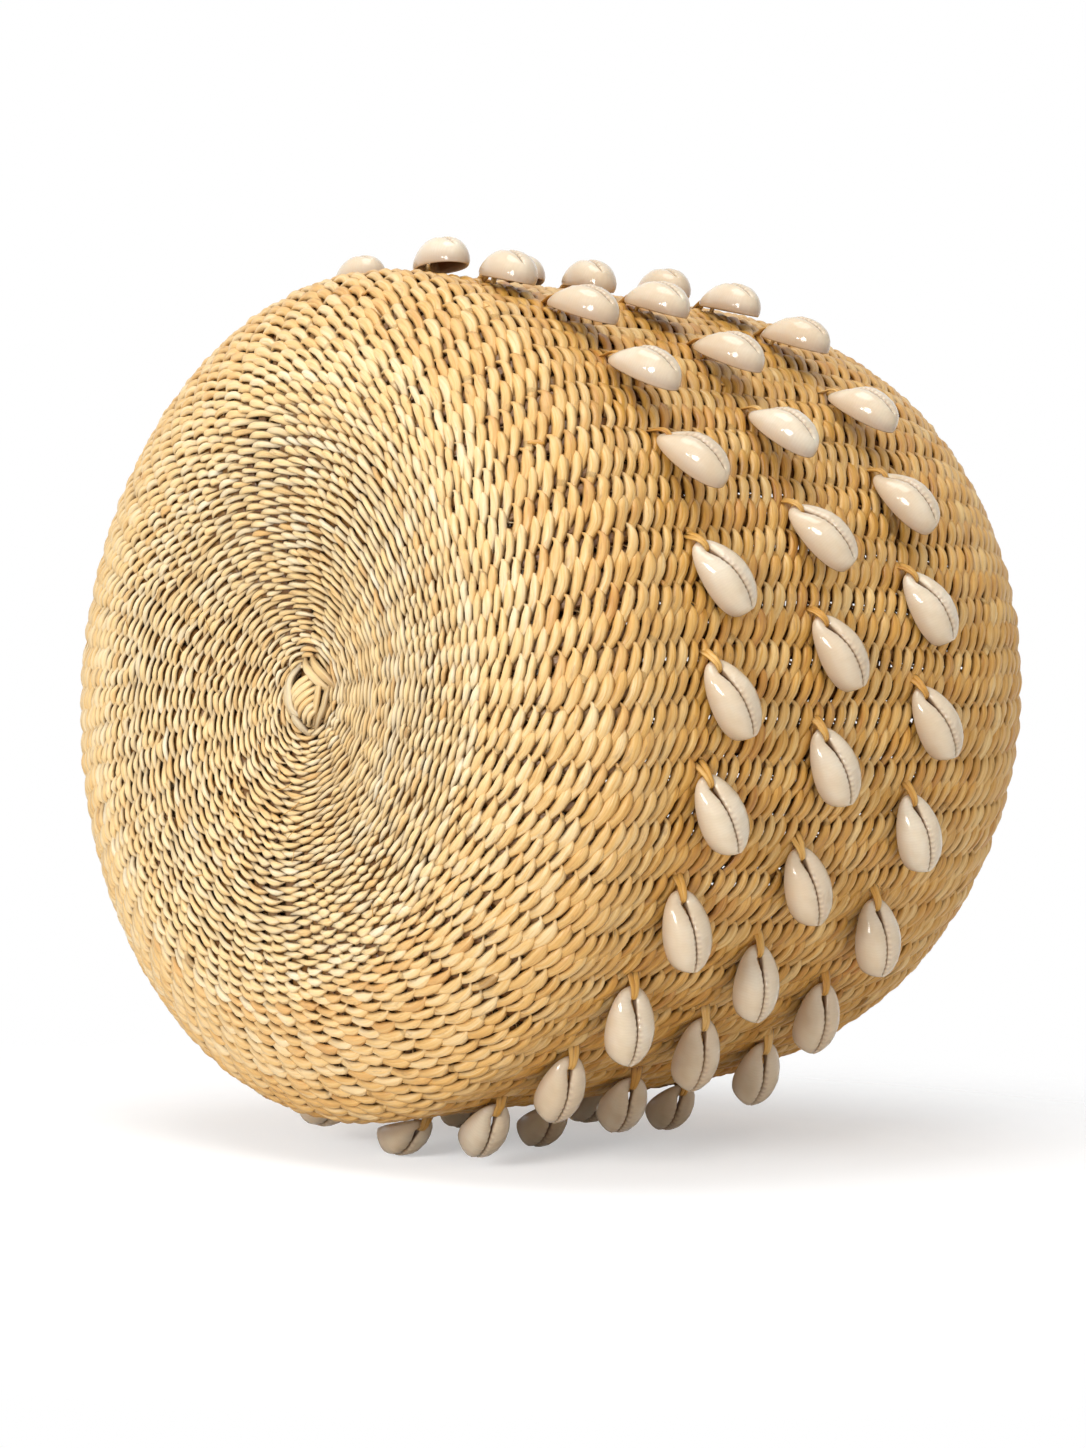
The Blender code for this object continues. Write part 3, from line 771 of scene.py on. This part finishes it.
# Cowries. Small ivory cowries with the back cut off, as they are prepared for sewing on: the toothed slit
# faces out and the cut rim lies against the wall. 24 to a ring, each hung by the bar at its narrow end.

SHELL_LENGTH = 21.8
SHELL_WIDTH = 13.5
SHELL_HEIGHT = 8.2
BAR_RADIUS = 1.2
JOIN_GAP = 0.3
SHELLS_IN_RING = 24
RING_HEIGHTS = (47.0, 86.5, 126.0)
FIRST_TURN = math.radians(-3.5)
RING_TURN = math.radians(9.2)
# By the degrees round from the uppermost side: how far a shell hangs open, how far it slants up from its
# ring, and how far the weave has settled its tie along the ring.
HANG_BY_TURN = (
    (0, 5), (15, 8), (27, 17), (45, 24), (60, 18), (72, 6), (92, 5),
    (104, 12), (118, 20), (160, 18), (180, 14), (200, 18), (300, 6), (360, 5))
SLANT_BY_TURN = (
    (0, -17), (12, -10), (27, 6), (45, 12), (60, 22), (72, 32), (82, 36), (92, 33), (104, 26), (118, 20),
    (131, 14), (146, 16), (158, 22), (176, 15), (200, 14), (230, 24), (270, 26), (330, -4), (360, -17))
SETTLED_BY_TURN = (
    (0, 5), (12, 3), (21, 1.4), (45, 1.4), (66, 0.1), (92, 0.2), (104, -0.5), (131, -0.9),
    (142, -2.5), (150, -3), (162, -1.4), (200, 0), (300, 0), (340, 3.5), (360, 5))
TIGHT_SHELLS = (range(14, 19), range(13, 18), range(13, 19))
HANG_SPREAD = math.radians(3)
SLANT_SPREAD = math.radians(4)
HEIGHT_SPREAD = 0.8
BEARING_SPREAD = math.radians(0.6)
touch_distance = SHELL_LENGTH / 2
bar_height = BAR_RADIUS + touch_distance ** 2 / (2 * BELLY_RADIUS) + JOIN_GAP
lying_tilt = math.atan2(touch_distance, BELLY_RADIUS)
shell_chance = random.Random(5)


def by_turn(table, turn):
    turn = math.degrees(turn) % 360
    return math.radians(float(np.interp(turn, [row[0] for row in table], [row[1] for row in table])))


def shell_place(ring, number):
    """The tie's own axes (along the shell, across it, out of the wall) at its bar, and how far it hangs."""
    turn = FIRST_TURN + ring * RING_TURN + number * math.tau / SHELLS_IN_RING
    turn += shell_chance.uniform(-BEARING_SPREAD, BEARING_SPREAD)
    height = RING_HEIGHTS[ring] + shell_chance.uniform(-HEIGHT_SPREAD, HEIGHT_SPREAD)
    slant = by_turn(SLANT_BY_TURN, turn) + shell_chance.uniform(-SLANT_SPREAD, SLANT_SPREAD)
    hang = max(by_turn(HANG_BY_TURN, turn) + shell_chance.uniform(-HANG_SPREAD, HANG_SPREAD), 0.0)
    if number in TIGHT_SHELLS[ring]:
        hang = 0.0
    bearing = UP_BEARING + turn + by_turn(SETTLED_BY_TURN, turn)
    flat = Vector((math.cos(bearing), math.sin(bearing), 0))
    around = Vector((-math.sin(bearing), math.cos(bearing), 0))
    slope = (wall_radius(height + 0.5) - wall_radius(height - 0.5)) / 1.0
    out = (flat - slope * Vector((0, 0, 1))).normalized()
    up = out.cross(around)
    lengthwise = around * math.cos(slant) + up * math.sin(slant)
    across = out.cross(lengthwise)
    lean = UP * LEAN_AT_MOUTH * height / WALL_HEIGHT
    point = Vector(MIDDLE) + lean + Vector((0, 0, height)) + flat * wall_radius(height) + out * bar_height
    axes = Matrix((lengthwise, across, out)).transposed().to_4x4()
    axes.translation = point
    return axes, hang, slant


# Cut cowrie: polished aragonite, ivory with a warm brown-violet flush toward the cut rim and inside. It
# gives small sharp highlights over a milky body.
cowrie = bpy.data.materials.new("polished_cowrie")
cowrie.use_nodes = True
tree = cowrie.node_tree
tree.nodes.clear()
inside = add(tree, "ShaderNodeAttribute", {"attribute_name": "inside"})
flush = add(tree, "ShaderNodeAttribute", {"attribute_name": "flush"})
own = add(tree, "ShaderNodeAttribute", {"attribute_name": "shell_tone", "attribute_type": "OBJECT"})
spot = add(tree, "ShaderNodeTexCoord")
# Growth clouds about 4 mm across and faint growth lines 0.7 mm apart.
moved = add(tree, "ShaderNodeVectorMath", {"operation": "ADD"}, {0: spot.outputs["Object"], 1: own.outputs["Vector"]})
clouds = add(tree, "ShaderNodeTexNoise", {"Scale": 160.0, "Detail": 2.0, "Roughness": 0.5}, {
    "Vector": moved.outputs[0]})
lines = add(tree, "ShaderNodeTexWave", {
    "Scale": 420.0, "Distortion": 6.0, "Detail": 2.0, "bands_direction": "X"}, {"Vector": moved.outputs[0]})
ivory = add(tree, "ShaderNodeValToRGB", {
    "ramp": [(0.25, linear("#E5D1B2")), (0.50, linear("#EEDDC2")), (0.78, linear("#F4E8D2"))],
}, {"Fac": clouds.outputs[0]})
lined = add(tree, "ShaderNodeMath", {"operation": "MULTIPLY", 1: 0.10}, {0: lines.outputs["Fac"]})
tanned = add(tree, "ShaderNodeMath", {"operation": "MULTIPLY", 1: 0.45}, {0: own.outputs["Fac"]})
patchy = add(tree, "ShaderNodeMath", {"operation": "MULTIPLY_ADD", 1: 0.9, 2: 0.35}, {0: clouds.outputs[0]})
patchy = add(tree, "ShaderNodeMath", {"operation": "MULTIPLY"}, {0: patchy.outputs[0], 1: flush.outputs["Fac"]})
# Over the ivory: the growth lines, each shell's own tan, the flush by the rim with painted shade between the
# teeth, and the brown inside.
body = ivory.outputs["Color"]
for tint, share in (
    ("#CDB79C", lined.outputs[0]),
    ("#D9BE9A", tanned.outputs[0]),
    ("#A58672", patchy.outputs[0]),
    ("#7A4E2C", inside.outputs["Fac"]),
):
    body = add(tree, "ShaderNodeMix", {"data_type": "RGBA", 7: linear(tint)}, {0: share, 6: body}).outputs[2]
dull = add(tree, "ShaderNodeMapRange", {"To Min": 0.09, "To Max": 0.45}, {"Value": inside.outputs["Fac"]})
shine = add(tree, "ShaderNodeBsdfPrincipled", {
    "IOR": 1.53, "Subsurface Weight": 0.12, "Subsurface Radius": (1.0, 0.6, 0.4), "Subsurface Scale": 0.0015,
}, {"Base Color": body, "Roughness": dull.outputs["Result"]})
add(tree, "ShaderNodeOutputMaterial", None, {"Surface": shine.outputs[0]})

# A shell's section from the slit over the top, down to the cut rim and back up inside: how far from slit to
# side, how high, and how much of it is inside.
SHELL_SECTION = np.array([
    (0.02, 0.60, 1.0), (0.00, 0.80, 0.75), (0.005, 0.92, 0.15), (0.05, 0.98, 0.0), (0.17, 1.00, 0.0),
    (0.38, 0.985, 0.0), (0.57, 0.91, 0.0), (0.75, 0.775, 0.0), (0.89, 0.59, 0.0), (0.975, 0.38, 0.0),
    (0.985, 0.19, 0.0), (0.94, 0.05, 0.0), (0.89, 0.0, 0.3), (0.80, 0.03, 0.7), (0.76, 0.22, 0.9),
    (0.70, 0.42, 1.0), (0.52, 0.58, 1.0), (0.30, 0.63, 1.0), (0.12, 0.60, 1.0),
])
LIP_ENDS = 2
FIRST_INSIDE = 13
SHELL_STEPS = 168
TEETH = 15
TOOTH_LENGTH = 0.13
TOOTH_RISE = 0.16


def cut_cowrie(name, seed):
    own = random.Random(seed)
    curve = own.uniform(0.2, 0.5) - 1.8
    plump = own.uniform(0.96, 1.03)
    sides = len(SHELL_SECTION)
    places = np.zeros((SHELL_STEPS, sides, 3))
    inside = np.zeros((SHELL_STEPS, sides))
    flush = np.zeros((SHELL_STEPS, sides))
    for i in range(SHELL_STEPS):
        turn = math.tau * i / SHELL_STEPS
        c, s = math.cos(turn), math.sin(turn)
        share = (1 - c) / 2
        rim_x = SHELL_LENGTH * share - BAR_RADIUS
        blunt = math.copysign(abs(s) ** (0.96 - 0.10 * (1 - share)), s)
        rim_y = SHELL_WIDTH / 2 * blunt * (1 - 0.07 * c) * plump
        # The slit runs from just behind the bar to near the blunt end, curved and wider at the narrow end.
        slit_share = 0.115 + 0.825 * (1 - c) / 2
        slit_x = SHELL_LENGTH * slit_share - BAR_RADIUS
        middle = curve * math.sin(math.pi * max(slit_share - 0.12, 0) / 1.15)
        gape = float(np.interp(slit_share, (0.10, 0.16, 0.26, 0.42, 0.7, 0.94), (0.9, 0.8, 0.36, 0.20, 0.16, 0.12)))
        slit_y = middle + gape * math.copysign(min(abs(s) * 3.0, 1.0), s)
        tooth = 0.5 + 0.5 * math.cos(math.tau * TEETH * slit_share)
        toothed = float(np.interp(slit_share, (0.2, 0.3, 0.85, 0.93), (0, 1, 1, 0))) * min(abs(s) * 2, 1)
        top = SHELL_HEIGHT * float(np.interp(share, (0, 0.03, 0.10, 0.19, 0.34, 0.49, 0.65, 0.79, 0.92, 1.0),
                                             (0.30, 0.34, 0.50, 0.68, 0.90, 1.0, 1.0, 0.94, 0.80, 0.67)))
        hollow = min(max((share - 0.04) / 0.12, 0), 1)
        side_lift = 1.0 if s > 0 else 0.94
        for j, (d, h, dark) in enumerate(SHELL_SECTION):
            if j >= FIRST_INSIDE or j == 0:
                h = h * hollow + 0.12 * (1 - hollow)
                dark = dark * hollow
            nearness = max(1 - d / 0.22, 0)
            push = TOOTH_LENGTH * tooth * toothed * (1.0 if j <= LIP_ENDS else 0.0) * (1 if s > 0 else 0.8)
            y_slit = slit_y - math.copysign(push, s)
            x = slit_x + (rim_x - slit_x) * d
            y = y_slit + (rim_y - y_slit) * d
            z = top * h * side_lift - BAR_RADIUS
            z += TOOTH_RISE * tooth * toothed * nearness
            places[i, j] = (x, y, z)
            inside[i, j] = dark
            flush[i, j] = 0.75 * max(0.0, 1 - abs(h - 0.12) / 0.55) * (6 < j < FIRST_INSIDE) * (0.45 + 0.55 * share)
            # Painted shade in the grooves between the teeth, in the flush colour.
            flush[i, j] += 0.5 * (j <= LIP_ENDS + 1) * toothed * (1 - tooth)
    mesh = bpy.data.meshes.new(name)
    ring = np.arange(SHELL_STEPS)[:, None] * sides
    side = np.arange(sides)[None, :]
    after = (np.arange(SHELL_STEPS)[:, None] + 1) % SHELL_STEPS * sides
    beside = (side + 1) % sides
    faces = np.stack([ring + side, after + side, after + beside, ring + beside], axis=2).reshape(-1, 4)
    mesh.from_pydata((places.reshape(-1, 3) * MM).tolist(), [], faces.tolist())
    mesh.update()
    mesh.shade_smooth()
    for label, values in (("inside", inside), ("flush", flush)):
        layer = mesh.attributes.new(label, "FLOAT", "POINT")
        layer.data.foreach_set("value", values.astype(np.float32).ravel())
    mesh.materials.append(cowrie)
    return mesh


shell_shapes = [cut_cowrie(f"cut_cowrie_{i + 1}", 30 + i) for i in range(4)]
tie_axes = []
for ring in range(len(RING_HEIGHTS)):
    for number in range(SHELLS_IN_RING):
        axes, hang, slant = shell_place(ring, number)
        tie_axes.append((axes, slant))
        node = f"shell_{ring + 1}_{number:02d}"
        shell = bpy.data.objects.new(f"cowrie_{ring + 1}_{number:02d}", shell_shapes[(ring * 5 + number * 3) % 4])
        scene.collection.objects.link(shell)
        pose = axes @ Matrix.Rotation(-hang, 4, "Y") @ Matrix.Rotation(lying_tilt, 4, "Y")
        pose.translation *= MM
        shell.matrix_world = pose
        shell["shell_tone"] = ((ring * 7 + number * 5) % 11) / 10
        if number in TIGHT_SHELLS[ring]:
            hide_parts("woven_wall")
            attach(shell, "basket")
        else:
            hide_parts(node)
            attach(shell, node + "_body")


# Ties. Two narrow golden blades come out of the weave just beyond each shell, run side by side into the
# notch at its narrow end, go over the bar there and are woven back in behind.

# Along the blade, in the tie's axes: along the shell, across it, out of the wall, and half the width.
TIE_LINE = (
    (-4.4, 0.8, -3.4, 0.85), (-3.7, 0.75, -2.2, 0.95), (-2.9, 0.6, -0.9, 0.9), (-2.0, 0.48, 0.3, 0.85),
    (-0.9, 0.40, 1.25, 0.75), (0.4, 0.34, 1.5, 0.65), (1.5, 0.28, 1.1, 0.6), (2.2, 0.28, 0.2, 0.55),
    (2.6, 0.28, -0.9, 0.55), (2.5, 0.28, -2.2, 0.55), (2.2, 0.28, -3.6, 0.55),
)
ties = Strands()
for number, (axes, slant) in enumerate(tie_axes):
    axes = np.array(axes)
    for hand in (-1, 1):
        line = rounded(TIE_LINE, 3)
        line[:, 1] = line[:, 1] * hand + chance.uniform(-0.3, 0.3) * (line[:, 0] < -2)
        # Beyond the shell the blades follow the row that they come from.
        beyond = np.minimum(line[:, 0] + 1.2, 0)
        line[:, 0] += beyond * (math.cos(slant) - 1)
        line[:, 1] -= beyond * math.sin(slant)
        line[:, 2] += hand * 0.12
        places = line[:, :3] @ axes[:3, :3].T + axes[:3, 3]
        bend = np.gradient(line[:, :3], axis=0)
        facing_line = np.stack([-bend[:, 2], np.zeros(len(bend)), bend[:, 0]], axis=1)
        facing = facing_line @ axes[:3, :3].T
        # Painted shade: darker where the blade goes into the wall.
        painted_darkness = np.clip(0.10 + (-1.6 - line[:, 2]) * 0.25, 0.05, 0.7)
        ties.lay(places, facing, line[:, 3], 0.34, 0.5 + chance.gauss(0, 0.12), painted_darkness, 400 + number * 2 + hand)
ties = ties.made("shell_ties", grass)
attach(ties, "basket")


# Loose ends. Where one blade ran out and the next was laid in, a short cut end stands off the wall, and
# stray fibres split from the blades curl away. They are the same golden grass.

LOOSE_ENDS = 130
loose_chance = np.random.default_rng(8)
loose = Strands()
for number in range(LOOSE_ENDS):
    fibre = number % 5 != 0
    start_reach = loose_chance.uniform(20, 250) if fibre else loose_chance.uniform(95, 250)
    start_angle = loose_chance.uniform(0, math.tau)
    length = loose_chance.uniform(3, 8) if fibre else loose_chance.uniform(2.5, 4.5)
    share = np.linspace(0, 1, 7)
    heading = loose_chance.normal(0, 0.5) + (math.pi if loose_chance.uniform() < 0.3 else 0)
    curl = loose_chance.normal(0, 0.9 if fibre else 0.25)
    lift = loose_chance.uniform(0.8, 2.2) if fibre else loose_chance.uniform(0.6, 1.4)
    turned = heading + curl * share
    ahead = np.concatenate([[0], np.cumsum(np.cos(turned[:-1]))]) * length / 6
    aside = np.concatenate([[0], np.cumsum(np.sin(turned[:-1]))]) * length / 6
    radius = np.interp(start_reach, skin_length, middle_skin[:, 0])
    places, facing = on_skin(start_angle + ahead / radius, start_reach + aside, 0.9 + lift * share)
    # A little painted shade all along each fibre and cut end.
    if fibre:
        loose.lay(places, facing, 0.16 - 0.08 * share, 0.10, 0.6 + loose_chance.normal(0, 0.15), 0.1, 700 + number)
    else:
        loose.lay(places, facing, 0.95 - 0.25 * share, 0.35, 0.5 + loose_chance.normal(0, 0.15), 0.15, 700 + number)
loose_ends = loose.made("loose_ends", grass)
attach(loose_ends, "basket")
